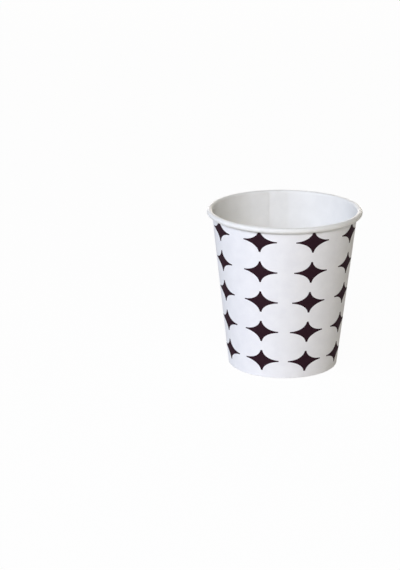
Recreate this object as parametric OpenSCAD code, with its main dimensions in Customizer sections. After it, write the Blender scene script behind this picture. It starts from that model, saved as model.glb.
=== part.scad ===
// Paper drinking cup: a wrapped and side-sealed wall with a rolled rim, a sealed-in bottom and a star print.
// The origin is the centre of the foot, +Z is up, and the front of the print faces -Y. Millimetres.

/* [Cup] */
// Outer diameter over the rolled rim
rim_d = 80; // [74:0.5:86]
// Outer diameter of the wall at the foot
base_d = 56.8; // [52:0.2:62]
// Height from the foot to the top of the rim
height = 82.6; // [76:0.2:100]
// Thickness of the coated paperboard
board_t = 0.35; // [0.25:0.05:0.5]

/* [Rolled rim] */
// Outside diameter of the roll
roll_d = 2.9; // [2.6:0.1:4]
// Degrees that the board turns, from the wall over the top and back under
roll_turn = 310; // [240:5:310]

/* [Bottom] */
// Height of the hollow under the bottom disc
recess_h = 7.5; // [6:0.5:12]
// Height to which the wall's lower edge is turned up inside the skirt
turn_up_h = 5.5; // [3:0.5:5.5]
// Outside radius of the bend between the disc and its skirt
bend_r = 1; // [0.8:0.1:1.5]
// Play on each side of the skirt where the wall is folded round it
seal_play = 0.04; // [0.02:0.01:0.08]

/* [Side seam] */
// Place of the raw edge inside the cup, in degrees from the front, counterclockwise from above
seam_at = 191.8; // [170:0.2:200]
// Degrees of wall that the lap covers
lap_turn = 13; // [9:0.5:15]
// Height of each raw edge after the lap is pressed
lap_step = 0.2; // [0.1:0.05:0.2]

/* [Star print] */
// Columns of stars round the wall
star_columns = 8; // [2:1:8]
// Rows of stars up the wall
star_rows = 5; // [2:1:5]
// Radius at the foot of the fan that the print is drawn on, a flatter one than the wall's own blank
print_r = 296; // [260:2:330]
// Place of the middle of the print, in degrees from the front
print_at = 43.5; // [42:0.1:45]
// Distance along the foot from one column to the next
column_pitch = 22.05; // [20:0.05:22.5]
// Distance from the foot to the centres of the lowest row, in the middle of the print
first_row = 9.3; // [8:0.1:11]
// Distance from one row to the next
row_pitch = 16.35; // [14:0.05:17]
// Width of a star over its side points
star_w = 18; // [14:0.1:20]
// Height of a star over its upper and lower points
star_h = 11.3; // [9:0.1:12.6]
// Width of a star between the middles of its concave sides
star_body_w = 6.3; // [5.6:0.05:6.8]
// Width of the blunt end of a side point
star_tip_w = 0.6; // [0.2:0.05:0.8]
// Thickness of the ink, drawn thicker than it prints
ink_t = 0.06; // [0.04:0.01:0.1]

/* [Hidden] */

$fn = 180;
// Degrees between the points of a bend in the section
bend_step = 15;
// Hair gap that keeps the ink clear of the wall
ink_gap = 0.01;
// Spare length of a cutting block past what it cuts
spare = 3;

// The roll's centre in the section, with the wall's outer face tangent to the inside of the roll
roll_r = roll_d / 2;
roll_c = [rim_d / 2 - roll_r, height - roll_r];
foot_to_roll = roll_c - [base_d / 2, 0];
taper = atan2(foot_to_roll.x, foot_to_roll.y) - asin((roll_r - board_t) / norm(foot_to_roll));
out = [cos(taper), -sin(taper)];
wall_len = norm(foot_to_roll) * cos(asin((roll_r - board_t) / norm(foot_to_roll)));
print_top = height - roll_d - board_t;
disc_top = recess_h + board_t;
// Gap between the two faces of the lower fold, which holds the skirt
fold_gap = board_t + 2 * seal_play;
// Length of the flat that each layer of the lap makes beyond the other's edge
lap_flat = sqrt(rim_d * lap_step);
lap_flat_turn = 2 * asin(lap_flat / base_d);
// Radius at the foot of the flat blank, which is a fan round the tip of the wall's cone
blank_r = base_d / 2 / sin(taper);

// Radius at height z of the line that runs parallel to the wall's outer face at a depth inside it
function wall_x(z, depth) = base_d / 2 + z * tan(taper) - depth / cos(taper);
function polar(r, a) = r * [cos(a), sin(a)];
// Points of an arc in the section from one angle to another
function arc(centre, r, from, to) =
    let (steps = ceil(abs(to - from) / bend_step))
    [for (i = [0:steps]) centre + polar(r, from + (to - from) * i / steps)];
// Points of the roll at a radius, from the wall's tangent point round to a turn
function roll_arc(centre, r, turn) = arc(centre, r, 180 - taper, 180 - taper - turn);
function reversed(points) = [for (i = [len(points) - 1:-1:0]) points[i]];

// Section of the wall blank: turned up inside the skirt, out under the foot, up the wall and round the roll
module sidewall_section() {
    outer_corner = [wall_x(board_t, board_t), board_t];
    inner_corner = [wall_x(board_t, board_t + fold_gap), board_t];
    turn_up_out = [wall_x(turn_up_h, board_t + fold_gap), turn_up_h];
    turn_up_in = turn_up_out - board_t * out;
    polygon(concat(
        [turn_up_out, turn_up_in],
        arc(inner_corner, board_t, 180 - taper, 270),
        arc(outer_corner, board_t, 270, 360 - taper),
        roll_arc(roll_c, roll_r - board_t, roll_turn),
        reversed(roll_arc(roll_c, roll_r, roll_turn)),
        [outer_corner, inner_corner]
    ));
}

// Section of the bottom blank: half a disc, bent down into a skirt that lies along the wall
module bottom_section() {
    skirt_end = board_t + seal_play;
    bend_z = disc_top - bend_r;
    bend_c = [wall_x(bend_z, board_t + seal_play + bend_r), bend_z];
    polygon(concat(
        [[0, disc_top], [0, recess_h]],
        arc(bend_c, bend_r - board_t, 90, -taper),
        [[wall_x(skirt_end, 2 * board_t + seal_play), skirt_end]],
        [[wall_x(skirt_end, board_t + seal_play), skirt_end]],
        arc(bend_c, bend_r, -taper, 90)
    ));
}

// Section of the inner layer of the lap, from the bottom disc up and over the inside of the roll
module lap_section() {
    lap_from = disc_top + seal_play;
    over_rim = 70;
    polygon(concat(
        [[wall_x(lap_from, board_t / 2), lap_from]],
        [[wall_x(lap_from, board_t + lap_step), lap_from]],
        roll_arc(roll_c - lap_step * out, roll_r, over_rim),
        reversed(roll_arc(roll_c, roll_r - board_t / 2, over_rim))
    ));
}

// Places its child on the wall's outer face: X is outward, Y runs round the wall and Z runs up it
module on_wall(turn, up) {
    rotate(turn - 90)
        translate([base_d / 2, 0, 0])
            rotate([0, taper, 0])
                translate([0, 0, up])
                    children();
}

// Places its child where a column and a row of the print lie once its fan is laid on the blank's and wrapped
module on_print(column, row) {
    print_turn = (column - (star_columns - 1) / 2) * column_pitch / print_r * 180 / PI;
    reach = print_r + first_row + row * row_pitch;
    flat = [reach * sin(print_turn), reach * cos(print_turn) + blank_r - print_r];
    blank_turn = atan2(flat.x, flat.y);
    on_wall(print_at + blank_turn / sin(taper), norm(flat) - blank_r)
        rotate([blank_turn - print_turn, 0, 0])
            children();
}

// Block over the flat that follows the lap's outer edge, where the wall steps down outside
module outside_lap_flat() {
    on_wall(seam_at + lap_turn, 2 * board_t)
        translate([-lap_step, 0, 0])
            cube([spare, lap_flat + spare, wall_len - roll_d]);
}

// Block inside the flat that follows the lap's outer edge, where the inner layer runs out into the wall
module inside_lap_flat() {
    on_wall(seam_at + lap_turn, 0)
        translate([-board_t - lap_step - spare, 0, 0])
            cube([spare, 2 * lap_flat + spare, wall_len + spare]);
}

// Block beyond the lap's outer edge, where the blank that carries the last column of stars has ended
module past_blank_edge() {
    on_wall(seam_at + lap_turn, 0)
        translate([-spare, 0, 0])
            cube([2 * spare, star_w, wall_len]);
}

module sidewall() {
    color("whitesmoke")
    difference() {
        union() {
            rotate_extrude() sidewall_section();
            difference() {
                rotate_extrude(angle = lap_turn + 2 * lap_flat_turn, start = seam_at - 90) lap_section();
                inside_lap_flat();
            }
        }
        outside_lap_flat();
    }
}

module bottom() {
    color("white")
    rotate_extrude() bottom_section();
}

// Star with four blunt points and concave arc sides, one unit from the centre to the end of each point
module unit_star() {
    waist = star_body_w / star_w;
    tip = star_tip_w / star_h;
    // Centre and radius of a side's arc, which runs from one point's end to the next one's through the waist
    side_c = (1 + tip * tip - 2 * waist * waist) / (2 + 2 * tip - 4 * waist);
    side_r = sqrt(2) * (side_c - waist);
    difference() {
        square(2, center = true);
        for (x = [-1, 1], y = [-1, 1])
            translate(side_c * [x, y])
                circle(side_r);
    }
}

// Film of ink just clear of the wall, from the foot up to the underside of the roll
module ink_film() {
    rotate_extrude()
        polygon([
            [wall_x(board_t, -ink_gap), board_t],
            [wall_x(board_t, -ink_gap - ink_t), board_t],
            [wall_x(print_top, -ink_gap - ink_t), print_top],
            [wall_x(print_top, -ink_gap), print_top]
        ]);
}

module star_print() {
    color("#2b2126")
    difference() {
        intersection() {
            ink_film();
            for (column = [0:star_columns - 1], row = [0:star_rows - 1])
                on_print(column, row)
                    rotate([90, 0, 90])
                        linear_extrude(height = 2 * spare, center = true)
                            scale([star_w / 2, star_h / 2])
                                unit_star();
        }
        past_blank_edge();
    }
}

sidewall();
bottom();
star_print();
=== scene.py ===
"""Paper drinking cup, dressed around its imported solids: wrapped wall, sealed-in bottom and star print."""

import math

import bmesh
import bpy
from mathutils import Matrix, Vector


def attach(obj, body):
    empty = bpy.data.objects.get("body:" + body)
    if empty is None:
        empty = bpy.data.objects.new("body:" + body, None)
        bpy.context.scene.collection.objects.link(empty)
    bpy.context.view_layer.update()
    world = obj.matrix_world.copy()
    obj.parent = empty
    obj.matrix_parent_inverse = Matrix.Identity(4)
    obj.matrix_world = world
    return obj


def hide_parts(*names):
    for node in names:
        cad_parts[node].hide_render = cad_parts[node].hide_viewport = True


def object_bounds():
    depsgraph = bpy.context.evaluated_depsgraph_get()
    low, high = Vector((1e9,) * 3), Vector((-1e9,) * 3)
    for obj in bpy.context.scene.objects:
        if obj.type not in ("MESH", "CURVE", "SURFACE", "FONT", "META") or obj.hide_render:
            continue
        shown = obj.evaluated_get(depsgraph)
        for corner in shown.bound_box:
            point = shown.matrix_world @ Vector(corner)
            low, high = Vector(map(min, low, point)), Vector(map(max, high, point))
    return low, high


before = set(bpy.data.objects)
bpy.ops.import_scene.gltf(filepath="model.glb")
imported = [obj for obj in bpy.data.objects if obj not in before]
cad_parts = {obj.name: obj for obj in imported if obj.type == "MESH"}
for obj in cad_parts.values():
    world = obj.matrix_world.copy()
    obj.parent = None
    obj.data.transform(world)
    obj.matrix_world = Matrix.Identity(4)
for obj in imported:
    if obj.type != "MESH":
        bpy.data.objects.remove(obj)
cad_low, cad_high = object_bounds()

MM = 0.001

# Sizes of the cup in millimetres; the rim and the height are read from the frame
RIM_D = (cad_high.x - cad_low.x) / MM
HEIGHT = (cad_high.z - cad_low.z) / MM
BASE_D = 56.8
BOARD = 0.35
ROLL_R = 1.45
ROLL_TURN = 310
RECESS = 7.5
TURN_UP = 5.5
BEND_R = 1.0
PLAY = 0.04

# Side seam, in degrees: the raw edge inside the cup, the lap, the run-out of its inner layer, and the flat
# that the sealing bar presses on each side of that edge. The lap shows from above the folded foot, between
# two heights in millimetres, and fades out over the roll.
SEAM_AT = 191.8
LAP_TURN = 13
LAP_STEP = 0.2
RUN_OUT_TURN = 14
FLAT_TURN = 16
LAP_FROM = 8.0
LAP_FULL = 14.0
LAP_OVER_ROLL = 80
# The two layers are pressed a little past half the board, so that a hair gap parts them
LAP_PRESS = 1.05
# Degrees over which the outer layer is pressed down past the inner raw edge
PRESS_EASE = 1
# Rounding of the flats' ends, as a share of the radius, and the turn in radians past which no flat reaches
FLAT_EASE = 0.004
FLAT_LIMIT = 0.5

# Star print, in millimetres and degrees. It is drawn on a flatter fan than the wall's own blank
STAR_W = 18.0
STAR_H = 11.3
STAR_BODY_W = 6.3
STAR_TIP_W = 0.6
STAR_COLUMNS = 8
STAR_ROWS = 5
PRINT_R = 296
PRINT_AT = 43.5
COLUMN_PITCH = 22.05
FIRST_ROW = 9.3
ROW_PITCH = 16.35
INK_LIFT = 0.012
INK_T = 0.035

# Steps of the meshes: in millimetres along straight stretches, and in degrees round bends
TURN_UP_STEP = 1
FOLD_STEP = 15
WALL_STEP = 3
ROLL_STEP = 8
DISC_STEP = 2
DISC_BEND_STEP = 8
UNDER_BEND_STEP = 10
STAR_SIDE_STEP = 6
STAR_RINGS = 14
# Sections round the wall, one a degree with both ends, and round the disc
WALL_SECTIONS = 360 + LAP_TURN + 1
DISC_SECTIONS = 288
# Points closer than this, in millimetres, are one, and edges that bend by more degrees than this stay sharp
MERGE = 0.0005
CREASE = 40
# A face takes a marked material where its mark is above this, and a cap has more corners than this
MARKED = 0.99
PAST_QUAD = 4.5

# The wall's outer face is tangent to the inside of the roll, which gives the taper
ROLL_C = (RIM_D / 2 - ROLL_R, HEIGHT - ROLL_R)
FOOT_TO_ROLL = (ROLL_C[0] - BASE_D / 2, ROLL_C[1])
TAPER = math.atan2(*FOOT_TO_ROLL) - math.asin((ROLL_R - BOARD) / math.hypot(*FOOT_TO_ROLL))
TILT = math.degrees(TAPER)
OUT = (math.cos(TAPER), -math.sin(TAPER))
FOLD_GAP = BOARD + 2 * PLAY
DISC_TOP = RECESS + BOARD
PRINT_TOP = HEIGHT - 2 * ROLL_R - BOARD


def wall_r(z, depth):
    """Radius at height z of the line that lies at a depth inside the wall's outer face."""
    return BASE_D / 2 + z * math.tan(TAPER) - depth / math.cos(TAPER)


def arc(centre, r, start, end, step):
    """Points of an arc in the section, angles in degrees."""
    count = math.ceil(abs(end - start) / step)
    angles = [math.radians(start + (end - start) * i / count) for i in range(count + 1)]
    return [(centre[0] + r * math.cos(a), centre[1] + r * math.sin(a)) for a in angles]


def straight(a, b, step):
    """Points from one point of the section towards another, both ends included."""
    count = math.ceil(math.dist(a, b) / step)
    return [(a[0] + (b[0] - a[0]) * i / count, a[1] + (b[1] - a[1]) * i / count) for i in range(count + 1)]


def through_board(face):
    """The point on the wall's outer side of the board, straight across from one on its inner side."""
    return face[0] + BOARD * OUT[0], face[1] + BOARD * OUT[1]


def eased(value, start, end):
    """Smooth step from 0 at the start to 1 at the end."""
    part = min(1, max(0, (value - start) / (end - start)))
    return part * part * (3 - 2 * part)


def sidewall_pairs():
    """Pairs of points on the print face and the inside face of the board, each with its share of the lap.
    They run from the edge turned up behind the skirt, round the foot, up the wall and round the roll."""
    outer_corner = (wall_r(BOARD, BOARD), BOARD)
    inner_corner = (wall_r(BOARD, BOARD + FOLD_GAP), BOARD)
    turn_up = (wall_r(TURN_UP, BOARD + FOLD_GAP), TURN_UP)
    roll_start = (ROLL_C[0] - ROLL_R * OUT[0], ROLL_C[1] - ROLL_R * OUT[1])
    leg = straight(turn_up, inner_corner, TURN_UP_STEP)
    pairs = [((r - BOARD * OUT[0], z - BOARD * OUT[1]), (r, z), 0) for r, z in leg]
    inner_bend = arc(inner_corner, BOARD, 180 - TILT, 270, FOLD_STEP)[1:]
    outer_bend = arc(outer_corner, BOARD, 270, 360 - TILT, FOLD_STEP)
    pairs += [(spot, inner_corner, 0) for spot in inner_bend]
    pairs += [(spot, outer_corner, 0) for spot in outer_bend]
    wall = straight(outer_corner, roll_start, WALL_STEP)[1:-1]
    pairs += [(through_board(spot), spot, eased(spot[1], LAP_FROM, LAP_FULL)) for spot in wall]
    roll = (180 - TILT, 180 - TILT - ROLL_TURN, ROLL_STEP)
    faces = list(zip(arc(ROLL_C, ROLL_R - BOARD, *roll), arc(ROLL_C, ROLL_R, *roll)))
    for i, (print_side, inside) in enumerate(faces):
        turned = ROLL_TURN * i / (len(faces) - 1)
        pairs.append((print_side, inside, 1 - eased(turned, 0, LAP_OVER_ROLL)))
    return pairs


def bottom_outline():
    """Outline of the bottom from its axis: over the disc, its bend and the skirt, which are coated, and back
    under them."""
    skirt_end = BOARD + PLAY
    bend_c = (wall_r(DISC_TOP - BEND_R, BOARD + PLAY + BEND_R), DISC_TOP - BEND_R)
    over = arc(bend_c, BEND_R, 90, -TILT, DISC_BEND_STEP)
    under = arc(bend_c, BEND_R - BOARD, -TILT, 90, UNDER_BEND_STEP)
    skirt_out = (wall_r(skirt_end, BOARD + PLAY), skirt_end)
    skirt_in = (wall_r(skirt_end, 2 * BOARD + PLAY), skirt_end)
    coated = straight((0, DISC_TOP), over[0], DISC_STEP) + over[1:]
    coated += straight(over[-1], skirt_out, DISC_STEP)[1:]
    plain = straight(skirt_in, under[0], DISC_STEP) + under[1:]
    plain += straight(under[-1], (0, RECESS), DISC_STEP)[1:]
    return coated, plain


def section_object(name, points, closed, fields):
    """A section to sweep, as a wire: its X is the distance out from the foot's edge and its Y runs down."""
    mesh = bpy.data.meshes.new(name)
    count = len(points)
    edges = [(i, (i + 1) % count) for i in range(count if closed else count - 1)]
    mesh.from_pydata([((r - BASE_D / 2) * MM, -z * MM, 0) for r, z in points], edges, [])
    for label, values in fields.items():
        mesh.attributes.new(label, "FLOAT", "POINT").data.foreach_set("value", values)
    return bpy.data.objects.new(name, mesh)


def wall_section():
    """The wall's section with, at each point, the way to the middle of the board and the share of the lap."""
    pairs = sidewall_pairs()
    loop = [(a, b, share, 0) for a, b, share in pairs] + [(b, a, share, 1) for a, b, share in reversed(pairs)]
    count = len(pairs)
    ends = (0, count - 1, count, 2 * count - 1)
    return section_object("wall_section", [spot for spot, _, _, _ in loop], True, {
        "middle_out": [(other[0] - spot[0]) / 2 * MM for spot, other, _, _ in loop],
        "middle_up": [(other[1] - spot[1]) / 2 * MM for spot, other, _, _ in loop],
        "lap_share": [share for _, _, share, _ in loop],
        "inside": [inside for _, _, _, inside in loop],
        "raw_edge": [float(i in ends) for i in range(2 * count)],
    })


def disc_section():
    """The bottom's section, with its coated face marked and its raw edge at the skirt's end."""
    coated, plain = bottom_outline()
    ends = (len(coated) - 1, len(coated))
    return section_object("disc_section", coated + plain, False, {
        "inside": [1.0] * len(coated) + [0.0] * len(plain),
        "raw_edge": [float(i in ends) for i in range(len(coated) + len(plain))],
    })


def star_object():
    """One star in its real size: rings of points round its centre, the outermost along four arcs that leave
    the points blunt."""
    waist = STAR_BODY_W / STAR_W
    tip = STAR_TIP_W / STAR_H
    side_c = (1 + tip ** 2 - 2 * waist ** 2) / (2 + 2 * tip - 4 * waist)
    side_r = math.sqrt(2) * (side_c - waist)
    first = math.degrees(math.atan2(tip - side_c, 1 - side_c)) % 360
    last = math.degrees(math.atan2(1 - side_c, tip - side_c)) % 360
    side = arc((side_c, side_c), side_r, first, last, STAR_SIDE_STEP)
    outline = side + [(-y, x) for x, y in side]
    outline += [(-x, -y) for x, y in outline]
    count = len(outline)
    spots = [(0, 0, 0)]
    for ring in range(1, STAR_RINGS + 1):
        part = MM * ring / STAR_RINGS
        spots += [(x * STAR_W / 2 * part, y * STAR_H / 2 * part, 0) for x, y in outline]
    faces = [(0, 1 + i, 1 + (i + 1) % count) for i in range(count)]
    for ring in range(STAR_RINGS - 1):
        a = 1 + ring * count
        b = a + count
        faces += [(a + i, b + i, b + (i + 1) % count, a + (i + 1) % count) for i in range(count)]
    mesh = bpy.data.meshes.new("one_star")
    mesh.from_pydata(spots, [], faces)
    return bpy.data.objects.new("one_star", mesh)


def add(tree, kind, *values, out=0, settings=None, **named):
    """Adds a node, its operation after its kind if it has one, sets or links its inputs in order and by name,
    and returns one of its outputs."""
    kind, _, operation = kind.partition(" ")
    node = tree.nodes.new(kind)
    for key, value in ((settings or {}) | ({"operation": operation} if operation else {})).items():
        setattr(node, key, value)
    by_name = [(name.replace("_", " "), value) for name, value in named.items()]
    for key, value in [*enumerate(values), *by_name]:
        if isinstance(value, bpy.types.NodeSocket):
            tree.links.new(value, node.inputs[key])
        else:
            node.inputs[key].default_value = value
    return node.outputs[out] if len(node.outputs) else node


def new_tree(name, inputs):
    """A geometry tree with named inputs; returns it and the sockets of its inputs."""
    tree = bpy.data.node_groups.new(name, "GeometryNodeTree")
    tree.interface.new_socket("Geometry", in_out="OUTPUT", socket_type="NodeSocketGeometry")
    for label, kind in inputs.items():
        tree.interface.new_socket(label, in_out="INPUT", socket_type="NodeSocket" + kind)
    return tree, tree.nodes.new("NodeGroupInput").outputs


def grown(name, tree, values):
    """The mesh that a tree makes with these input values, plain and with the modifier gone."""
    host = bpy.data.objects.new(name + "_host", bpy.data.meshes.new(name + "_host"))
    bpy.context.scene.collection.objects.link(host)
    modifier = host.modifiers.new("grow", "NODES")
    modifier.node_group = tree
    for item in tree.interface.items_tree:
        if item.in_out == "INPUT":
            modifier[item.identifier] = values[item.name]
    depsgraph = bpy.context.evaluated_depsgraph_get()
    mesh = bpy.data.meshes.new_from_object(host.evaluated_get(depsgraph), depsgraph=depsgraph)
    bpy.data.objects.remove(host)
    for extra in [a.name for a in mesh.attributes if not a.is_required and not a.is_internal]:
        if extra not in ("material_index", "sharp_face"):
            mesh.attributes.remove(mesh.attributes[extra])
    return mesh


def finished(name, mesh, node):
    """Merges doubles, turns faces outwards, keeps creases sharp and puts the piece in its solid's place."""
    work = bmesh.new()
    work.from_mesh(mesh)
    bmesh.ops.remove_doubles(work, verts=work.verts, dist=MERGE * MM)
    bmesh.ops.dissolve_degenerate(work, edges=work.edges, dist=MERGE * MM)
    bmesh.ops.recalc_face_normals(work, faces=work.faces)
    work.to_mesh(mesh)
    work.free()
    mesh.name = name
    mesh.shade_smooth()
    mesh.set_sharp_from_angle(angle=math.radians(CREASE))
    piece = bpy.data.objects.new(name, mesh)
    bpy.context.scene.collection.objects.link(piece)
    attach(piece, "root")
    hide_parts(node)
    return piece


def lap_flats(tree, past_edge, half_turn):
    """How much the pressed flats shorten the radius, as a share of it, at an angle past the inner raw edge.
    One flat lies on each side of that edge."""
    off_edge = add(tree, "ShaderNodeMath ABSOLUTE", past_edge)
    off_middle = add(tree, "ShaderNodeMath SUBTRACT", off_edge, half_turn)
    off_middle = add(tree, "ShaderNodeClamp", off_middle, -FLAT_LIMIT, FLAT_LIMIT)
    chord = add(tree, "ShaderNodeMath DIVIDE", add(tree, "ShaderNodeMath COSINE", half_turn),
                add(tree, "ShaderNodeMath COSINE", off_middle))
    pressed = add(tree, "ShaderNodeMath SMOOTH_MIN", chord, 1.0, FLAT_EASE)
    return add(tree, "ShaderNodeMath SUBTRACT", pressed, 1.0)


def sweep_tree():
    """Sweeps a section round the cup's axis. Past a full turn the blank laps over its own start: both layers
    are pressed thinner, the inner one stands a step inside the wall, and the flats are pressed into both."""
    tree, size = new_tree("wrapped_blank", {
        "Section": "Object", "Foot Radius": "Float", "Start": "Float", "Lap": "Float", "Run Out": "Float",
        "Step": "Float", "Press": "Float", "Half Flat": "Float", "Count": "Int", "Caps": "Bool",
        "Print Side": "Material", "Inside": "Material", "Raw Edge": "Material",
    })

    # Path round the foot, open where its ends have caps, which keeps each point's turn from the start
    path = add(tree, "GeometryNodeCurvePrimitiveLine")
    path = add(tree, "GeometryNodeResampleCurve", Curve=path, Count=size["Count"])
    closed = add(tree, "FunctionNodeBooleanMath NOT", size["Caps"])
    path = add(tree, "GeometryNodeSetSplineCyclic", Geometry=path, Cyclic=closed)
    steps = add(tree, "ShaderNodeMath SUBTRACT", size["Count"], size["Caps"])
    turn = add(tree, "ShaderNodeMath DIVIDE", add(tree, "GeometryNodeSplineParameter", out="Index"), steps)
    turn = add(tree, "ShaderNodeMath MULTIPLY", turn, add(tree, "ShaderNodeMath ADD", size["Lap"], math.tau))
    path = add(tree, "GeometryNodeStoreNamedAttribute", Geometry=path, Name="turn", Value=turn)
    turn = add(tree, "GeometryNodeInputNamedAttribute", "turn")
    angle = add(tree, "ShaderNodeMath ADD", turn, size["Start"])
    cosine = add(tree, "ShaderNodeMath COSINE", angle)
    sine = add(tree, "ShaderNodeMath SINE", angle)
    way_out = add(tree, "ShaderNodeCombineXYZ", cosine, sine)
    spot = add(tree, "ShaderNodeVectorMath SCALE", way_out, Scale=size["Foot Radius"])
    path = add(tree, "GeometryNodeSetPosition", Geometry=path, Position=spot)
    path = add(tree, "GeometryNodeSetCurveNormal", path, settings={"mode": "Z_UP"})
    section = add(tree, "GeometryNodeObjectInfo", size["Section"], out="Geometry")
    section = add(tree, "GeometryNodeMeshToCurve", section)
    swept = add(tree, "GeometryNodeCurveToMesh", path, section, Fill_Caps=size["Caps"])

    # Weights of the two layers of the lap, and of each side of the board in them
    lap_end = add(tree, "ShaderNodeMath ADD", size["Lap"], size["Run Out"])
    inner = add(tree, "ShaderNodeMapRange", turn, size["Lap"], lap_end, 1.0, 0.0,
                settings={"interpolation_type": "SMOOTHSTEP"})
    outer = add(tree, "ShaderNodeMapRange", turn, math.tau,
                math.tau + math.radians(PRESS_EASE), 0.0, 1.0)
    inside = add(tree, "GeometryNodeInputNamedAttribute", "inside")
    share = add(tree, "GeometryNodeInputNamedAttribute", "lap_share")
    pressed = add(tree, "ShaderNodeMix", inside, settings={"data_type": "FLOAT"}, A=inner, B=outer)
    pressed = add(tree, "ShaderNodeMath MULTIPLY", pressed, size["Press"])
    half_in = add(tree, "ShaderNodeMath MULTIPLY", 0.5, add(
        tree, "ShaderNodeMath ADD", inner,
        add(tree, "ShaderNodeMath MULTIPLY", inside, add(tree, "ShaderNodeMath ADD", inner, outer)),
    ))
    step_in = add(tree, "ShaderNodeMath MULTIPLY", half_in, size["Step"])

    # The flats, the same for the layer at the start of the blank and for the one at its end
    past_half = add(tree, "ShaderNodeMath GREATER_THAN", turn, math.pi)
    full_turn = add(tree, "ShaderNodeMath MULTIPLY", past_half, math.tau)
    past_edge = add(tree, "ShaderNodeMath SUBTRACT", turn, full_turn)
    place = add(tree, "GeometryNodeInputPosition")
    radius = add(tree, "ShaderNodeVectorMath DOT_PRODUCT", place, way_out, out="Value")
    flat_in = add(tree, "ShaderNodeMath MULTIPLY", radius, lap_flats(tree, past_edge, size["Half Flat"]))

    # Both moves together, and each face's way to the middle of the board
    moved_in = add(tree, "ShaderNodeMath SUBTRACT", flat_in, step_in)
    moved_in = add(tree, "ShaderNodeMath MULTIPLY", moved_in, share)
    middle_out = add(tree, "GeometryNodeInputNamedAttribute", "middle_out")
    middle_up = add(tree, "GeometryNodeInputNamedAttribute", "middle_up")
    moved_out = add(tree, "ShaderNodeMath ADD", moved_in,
                    add(tree, "ShaderNodeMath MULTIPLY", middle_out, pressed))
    moved = add(
        tree, "ShaderNodeCombineXYZ", add(tree, "ShaderNodeMath MULTIPLY", moved_out, cosine),
        add(tree, "ShaderNodeMath MULTIPLY", moved_out, sine),
        add(tree, "ShaderNodeMath MULTIPLY", middle_up, pressed),
    )
    swept = add(tree, "GeometryNodeSetPosition", Geometry=swept, Offset=moved)
    swept = add(tree, "GeometryNodeRealizeInstances", swept)

    # Materials: the marks tell the faces apart, and the caps are the only faces with many corners
    swept = add(tree, "GeometryNodeSetMaterial", swept, Material=size["Print Side"])
    coated = add(tree, "ShaderNodeMath GREATER_THAN", inside, MARKED)
    swept = add(tree, "GeometryNodeSetMaterial", swept, coated, size["Inside"])
    raw_edge = add(tree, "GeometryNodeInputNamedAttribute", "raw_edge")
    cut = add(tree, "ShaderNodeMath GREATER_THAN", raw_edge, MARKED)
    corners = add(tree, "GeometryNodeCornersOfFace", out="Total")
    cap = add(tree, "ShaderNodeMath GREATER_THAN", corners, PAST_QUAD)
    raw = add(tree, "ShaderNodeMath MAXIMUM", cut, cap)
    swept = add(tree, "GeometryNodeSetMaterial", swept, raw, size["Raw Edge"])
    add(tree, "NodeGroupOutput", swept)
    return tree


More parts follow.
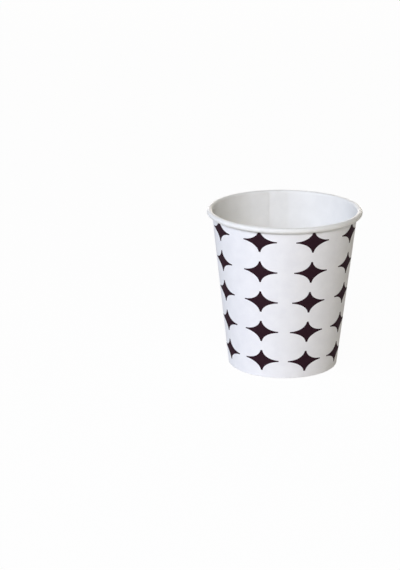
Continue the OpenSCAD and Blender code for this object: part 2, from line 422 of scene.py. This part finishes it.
def star_tree():
    """Prints columns and rows of stars on the flat blank, a fan round the cone's tip, and wraps the fan into
    the cone. A turn on the fan is the turn on the cup times the sine of the taper."""
    tree, size = new_tree("star_print", {
        "Star": "Object", "Columns": "Int", "Rows": "Int", "Print Reach": "Float", "Middle": "Float",
        "Column Pitch": "Float", "First Row": "Float", "Row Pitch": "Float", "Foot Radius": "Float",
        "Taper": "Float", "Print Top": "Float",
        "Seam": "Float", "Lap": "Float", "Half Flat": "Float", "Lap From": "Float", "Lap Full": "Float",
        "Lift": "Float", "Ink": "Float", "Material": "Material",
    })
    sin_taper = add(tree, "ShaderNodeMath SINE", size["Taper"])
    cos_taper = add(tree, "ShaderNodeMath COSINE", size["Taper"])
    foot_reach = add(tree, "ShaderNodeMath DIVIDE", size["Foot Radius"], sin_taper)

    # Places of the stars on the print's own fan, each star's height along a line from that fan's tip, and the
    # print laid on the blank with their feet together in the middle
    count = add(tree, "ShaderNodeMath MULTIPLY", size["Columns"], size["Rows"])
    spots = add(tree, "GeometryNodePoints", count)
    index = add(tree, "GeometryNodeInputIndex")
    row = add(tree, "ShaderNodeMath FLOOR", add(tree, "ShaderNodeMath DIVIDE", index, size["Columns"]))
    column = add(tree, "ShaderNodeMath MODULO", index, size["Columns"])
    last = add(tree, "ShaderNodeMath SUBTRACT", size["Columns"], 1.0)
    middle = add(tree, "ShaderNodeMath MULTIPLY", last, 0.5)
    along = add(tree, "ShaderNodeMath MULTIPLY", add(tree, "ShaderNodeMath SUBTRACT", column, middle),
                size["Column Pitch"])
    clockwise = add(tree, "ShaderNodeMath DIVIDE", along, size["Print Reach"])
    facing = add(tree, "ShaderNodeMath MULTIPLY", clockwise, -1.0)
    up = add(tree, "ShaderNodeMath MULTIPLY_ADD", row, size["Row Pitch"], size["First Row"])
    reach = add(tree, "ShaderNodeMath ADD", size["Print Reach"], up)
    spot = add(tree, "ShaderNodeVectorRotate", add(tree, "ShaderNodeCombineXYZ", Y=reach), Angle=facing,
               settings={"rotation_type": "Z_AXIS"})
    feet_apart = add(tree, "ShaderNodeMath SUBTRACT", foot_reach, size["Print Reach"])
    laid = add(tree, "ShaderNodeCombineXYZ", Y=feet_apart)
    spots = add(tree, "GeometryNodeSetPosition", Geometry=spots, Position=spot, Offset=laid)
    facing = add(tree, "ShaderNodeCombineXYZ", Z=facing)
    star = add(tree, "GeometryNodeObjectInfo", size["Star"], out="Geometry")
    fan = add(tree, "GeometryNodeInstanceOnPoints", spots, Instance=star,
              Rotation=add(tree, "FunctionNodeEulerToRotation", facing))
    fan = add(tree, "GeometryNodeRealizeInstances", fan)

    # The fan wrapped into the cone; ink past the blank's end or up under the roll is cut off at the limit
    flat_spot = add(tree, "GeometryNodeInputPosition")
    flat_x = add(tree, "ShaderNodeSeparateXYZ", flat_spot, out="X")
    flat_y = add(tree, "ShaderNodeSeparateXYZ", flat_spot, out="Y")
    reach = add(tree, "ShaderNodeVectorMath LENGTH", flat_spot, out="Value")
    up = add(tree, "ShaderNodeMath SUBTRACT", reach, foot_reach)
    turn = add(tree, "ShaderNodeMath DIVIDE", add(tree, "ShaderNodeMath ARCTAN2", flat_x, flat_y), sin_taper)
    turn = add(tree, "ShaderNodeMath ADD", turn, size["Middle"])
    blank_end = add(tree, "ShaderNodeMath ADD", size["Seam"], size["Lap"])
    too_high = add(tree, "ShaderNodeMath GREATER_THAN", up, size["Print Top"])
    past_end = add(tree, "ShaderNodeMath GREATER_THAN", turn, blank_end)
    past_limit = add(tree, "ShaderNodeMath MAXIMUM", too_high, past_end)
    fan = add(tree, "GeometryNodeStoreNamedAttribute", Geometry=fan, Name="past_limit", Value=past_limit,
              settings={"data_type": "BOOLEAN"})
    up = add(tree, "ShaderNodeMath MINIMUM", up, size["Print Top"])
    turn = add(tree, "ShaderNodeMath MINIMUM", turn, blank_end)
    height = add(tree, "ShaderNodeMath MULTIPLY", up, cos_taper)
    share = add(tree, "ShaderNodeMapRange", height, size["Lap From"], size["Lap Full"], 0.0, 1.0,
                settings={"interpolation_type": "SMOOTHSTEP"})
    flat_in = lap_flats(tree, add(tree, "ShaderNodeMath SUBTRACT", turn, size["Seam"]), size["Half Flat"])
    radius = add(tree, "ShaderNodeMath MULTIPLY_ADD", up, sin_taper, size["Foot Radius"])
    pressed = add(tree, "ShaderNodeMath MULTIPLY_ADD", flat_in, share, 1.0)
    radius = add(tree, "ShaderNodeMath MULTIPLY", radius, pressed)
    radius = add(tree, "ShaderNodeMath MULTIPLY_ADD", size["Lift"], cos_taper, radius)
    sine = add(tree, "ShaderNodeMath SINE", turn)
    cosine = add(tree, "ShaderNodeMath MULTIPLY", add(tree, "ShaderNodeMath COSINE", turn), -1.0)
    on_cup = add(tree, "ShaderNodeCombineXYZ", add(tree, "ShaderNodeMath MULTIPLY", radius, sine),
                 add(tree, "ShaderNodeMath MULTIPLY", radius, cosine), height)
    lean = add(tree, "ShaderNodeMath MULTIPLY", sin_taper, -1.0)
    way_out = add(tree, "ShaderNodeCombineXYZ", sine, cosine, lean)
    film = add(tree, "GeometryNodeStoreNamedAttribute", Geometry=fan, Name="way_out", Value=way_out,
               settings={"data_type": "FLOAT_VECTOR"})
    film = add(tree, "GeometryNodeSetPosition", Geometry=film, Position=on_cup)
    past_limit = add(tree, "GeometryNodeInputNamedAttribute", "past_limit", settings={"data_type": "BOOLEAN"})
    film = add(tree, "GeometryNodeDeleteGeometry", film, past_limit, settings={"domain": "FACE"})

    # The film's thickness: its top lifted off and its underside kept
    way_out = add(tree, "GeometryNodeInputNamedAttribute", "way_out", settings={"data_type": "FLOAT_VECTOR"})
    raised = add(tree, "GeometryNodeExtrudeMesh", film, Offset=way_out, Offset_Scale=size["Ink"],
                 Individual=False)
    both = add(tree, "GeometryNodeJoinGeometry", raised)
    tree.links.new(add(tree, "GeometryNodeFlipFaces", film), both.node.inputs[0])
    both = add(tree, "GeometryNodeRealizeInstances", both)
    add(tree, "NodeGroupOutput", add(tree, "GeometryNodeSetMaterial", both, Material=size["Material"]))
    return tree


def colour(hex_code):
    """Linear colour with full alpha from an sRGB hex code."""
    parts = [int(hex_code[i:i + 2], 16) / 255 for i in (1, 3, 5)]
    return [p / 12.92 if p <= 0.04045 else ((p + 0.055) / 1.055) ** 2.4 for p in parts] + [1.0]


# Part of the noise's range that the clouds use, their swing in roughness, and the grain's depth in mm
CLOUD_RANGE = (0.3, 0.7)
GLOSS_SWING = 0.04
GRAIN_DEPTH = 0.05


def cloudy(name, dark, pale, cloud_mm, grain_mm, roughness, specular, bump):
    """A finish between two near colours in soft clouds, with a fine grain; returns its material."""
    material = bpy.data.materials.new(name)
    material.use_nodes = True
    tree = material.node_tree
    skin = tree.nodes["Principled BSDF"].inputs
    place = add(tree, "ShaderNodeTexCoord", out="Object")
    cloud = add(tree, "ShaderNodeTexNoise", Vector=place, Scale=1 / (cloud_mm * MM), Detail=4.0,
                Roughness=0.6)
    tone = add(tree, "ShaderNodeMapRange", cloud, *CLOUD_RANGE)
    # A mix has sockets of one name for each kind of data: its colours are inputs 6 and 7 and output 2
    mixed = add(tree, "ShaderNodeMix", tone, settings={"data_type": "RGBA"}, out=2)
    mixed.node.inputs[6].default_value = colour(dark)
    mixed.node.inputs[7].default_value = colour(pale)
    tree.links.new(mixed, skin["Base Color"])
    gloss = add(tree, "ShaderNodeMapRange", cloud, *CLOUD_RANGE, roughness - GLOSS_SWING,
                roughness + GLOSS_SWING)
    tree.links.new(gloss, skin["Roughness"])
    skin["Specular IOR Level"].default_value = specular
    grain = add(tree, "ShaderNodeTexNoise", Vector=place, Scale=1 / (grain_mm * MM), Detail=3.0)
    relief = add(tree, "ShaderNodeBump", Strength=bump, Distance=GRAIN_DEPTH * MM, Height=grain)
    tree.links.new(relief, skin["Normal"])
    return material


def build_cup():
    """The three pieces of the cup in place of their plain solids."""
    # Bleached cup board, its outside uncoated: near-white and matt, faintly cloudy from its fibres. The grain
    # is drawn coarser than the sheet's own so that it shows
    print_side = cloudy("bleached_cup_board", "#eeeef0", "#f4f4f5", cloud_mm=6, grain_mm=0.5,
                        roughness=0.55, specular=0.35, bump=0.06)
    # The same board under a thin, dull plastic coat, a little smoother; its darker, warmer tone is painted
    # shade inside the cup
    coated = cloudy("poly_coated_board_painted_shade", "#ebebe8", "#f1f1ee", cloud_mm=8, grain_mm=0.8,
                    roughness=0.45, specular=0.3, bump=0.04)
    # Cut edge of the board: the open fibres look a shade darker and rougher than the faces
    raw_edge = cloudy("raw_board_edge", "#d9d6d0", "#e6e4df", cloud_mm=0.6, grain_mm=0.15,
                      roughness=0.85, specular=0.2, bump=0.2)
    # Warm black printing ink: nearly even in density and as matt as the board it sinks into
    ink = cloudy("warm_black_ink", "#2d1b22", "#342129", cloud_mm=1.2, grain_mm=0.4,
                 roughness=0.65, specular=0.02, bump=0.05)

    sweep = sweep_tree()
    common = {
        "Foot Radius": BASE_D / 2 * MM, "Start": math.radians(SEAM_AT - 90),
        "Run Out": math.radians(RUN_OUT_TURN), "Half Flat": math.radians(FLAT_TURN / 2),
        "Step": LAP_STEP * MM, "Press": LAP_PRESS,
        "Print Side": print_side, "Inside": coated, "Raw Edge": raw_edge,
    }
    wall = grown("wall", sweep, common | {
        "Section": wall_section(), "Lap": math.radians(LAP_TURN), "Count": WALL_SECTIONS, "Caps": True,
    })
    finished("paper_wall", wall, "sidewall")

    disc = grown("disc", sweep, common | {
        "Section": disc_section(), "Lap": 0.0, "Count": DISC_SECTIONS, "Caps": False,
    })
    finished("paper_bottom", disc, "bottom")

    stars = grown("stars", star_tree(), {
        "Star": star_object(), "Columns": STAR_COLUMNS, "Rows": STAR_ROWS, "Print Reach": PRINT_R * MM,
        "Middle": math.radians(PRINT_AT), "Column Pitch": COLUMN_PITCH * MM, "First Row": FIRST_ROW * MM,
        "Row Pitch": ROW_PITCH * MM, "Foot Radius": BASE_D / 2 * MM, "Taper": TAPER,
        "Print Top": PRINT_TOP / math.cos(TAPER) * MM, "Seam": math.radians(SEAM_AT),
        "Lap": math.radians(LAP_TURN), "Half Flat": math.radians(FLAT_TURN / 2),
        "Lap From": LAP_FROM * MM, "Lap Full": LAP_FULL * MM, "Lift": INK_LIFT * MM, "Ink": INK_T * MM,
        "Material": ink,
    })
    finished("star_ink", stars, "star_print")


# Camera, in millimetres and degrees: its place, tilt and turn are worked out from the outlines in the photo
CAMERA_AT = (-25.3, -906.5, 322.9)
CAMERA_DOWN = 17.27
CAMERA_TURN = 1.15
CAMERA_LENS = 115.06
CAMERA_SENSOR = 36
# Distance of the lamps from the cup and half the floor's width, in metres
LAMP_REACH = 2.15
FLOOR_HALF = 3.0
# Share of the floor's white that shows as it is; the rest takes the cup's shadow
FLOOR_GLOW = 0.965
# Level of the soft light from all round
ROOM_LEVEL = 0.1


def set_camera():
    """Camera at the photo's viewing angle."""
    lens = bpy.data.cameras.new("photo_view")
    lens.lens = CAMERA_LENS
    lens.sensor_width = CAMERA_SENSOR
    camera = bpy.data.objects.new("photo_view", lens)
    camera.location = [c * MM for c in CAMERA_AT]
    camera.rotation_euler = (math.radians(90 - CAMERA_DOWN), 0, math.radians(CAMERA_TURN))
    bpy.context.scene.collection.objects.link(camera)
    bpy.context.scene.camera = camera


def white_to_camera(tree, lit, white, surface):
    """Shows the white shader to the camera and in reflections, and the lit one to all other rays."""
    path = add(tree, "ShaderNodeLightPath").node.outputs
    seen = add(tree, "ShaderNodeMath MAXIMUM", path["Is Camera Ray"], path["Is Glossy Ray"])
    seen = add(tree, "ShaderNodeMath MAXIMUM", seen, path["Is Transmission Ray"])
    tree.links.new(add(tree, "ShaderNodeMixShader", seen, lit, white), surface)


def area_lamp(name, turn, rise, size, energy, hex_code):
    """A soft lamp at a turn from the front and a rise above the floor, in degrees, that faces the cup."""
    lamp = bpy.data.lights.new(name, "AREA")
    lamp.shape = "RECTANGLE"
    lamp.size, lamp.size_y = size
    lamp.energy = energy
    lamp.color = colour(hex_code)[:3]
    turn, rise = math.radians(turn), math.radians(rise)
    way = Vector((math.cos(rise) * math.sin(turn), -math.cos(rise) * math.cos(turn), math.sin(rise)))
    stand = bpy.data.objects.new(name, lamp)
    stand.location = Vector((0, 0, HEIGHT / 2 * MM)) + way * LAMP_REACH
    stand.rotation_euler = (-way).to_track_quat("-Z", "Y").to_euler()
    bpy.context.scene.collection.objects.link(stand)


def set_stage():
    """White floor that keeps a soft shadow, white surroundings, a wide cool window at front left, a smaller
    lamp at the front and a low one behind."""
    mesh = bpy.data.meshes.new("studio_floor")
    corners = [(x * FLOOR_HALF, y * FLOOR_HALF, 0) for x, y in ((-1, -1), (1, -1), (1, 1), (-1, 1))]
    mesh.from_pydata(corners, [], [(0, 1, 2, 3)])
    floor = bpy.data.objects.new("studio_floor", mesh)
    bpy.context.scene.collection.objects.link(floor)
    material = bpy.data.materials.new("white_sweep")
    material.use_nodes = True
    tree = material.node_tree
    tree.nodes.remove(tree.nodes["Principled BSDF"])
    lit = add(tree, "ShaderNodeBsdfDiffuse", colour("#d6d3ca"))
    glow = add(tree, "ShaderNodeEmission", colour("#ffffff"), 1.0)
    shaded = add(tree, "ShaderNodeBsdfDiffuse", colour("#ffffff"))
    white = add(tree, "ShaderNodeMixShader", FLOOR_GLOW, shaded, glow)
    white_to_camera(tree, lit, white, tree.nodes["Material Output"].inputs["Surface"])
    mesh.materials.append(material)

    world = bpy.data.worlds.new("studio")
    bpy.context.scene.world = world
    world.use_nodes = True
    tree = world.node_tree
    tree.nodes.remove(tree.nodes["Background"])
    lit = add(tree, "ShaderNodeBackground", colour("#ffeeb0"), ROOM_LEVEL)
    white = add(tree, "ShaderNodeBackground", colour("#ffffff"), 1.0)
    white_to_camera(tree, lit, white, tree.nodes["World Output"].inputs["Surface"])

    area_lamp("window", turn=-50, rise=28, size=(3.4, 0.7), energy=41.5, hex_code="#dbe6ff")
    area_lamp("front_screen", turn=0, rise=28, size=(1.2, 0.7), energy=21, hex_code="#fffaf8")
    area_lamp("back_screen", turn=180, rise=9, size=(1.8, 0.7), energy=17, hex_code="#fff6ec")


build_cup()
set_camera()
set_stage()
bpy.context.scene.view_settings.view_transform = "Standard"
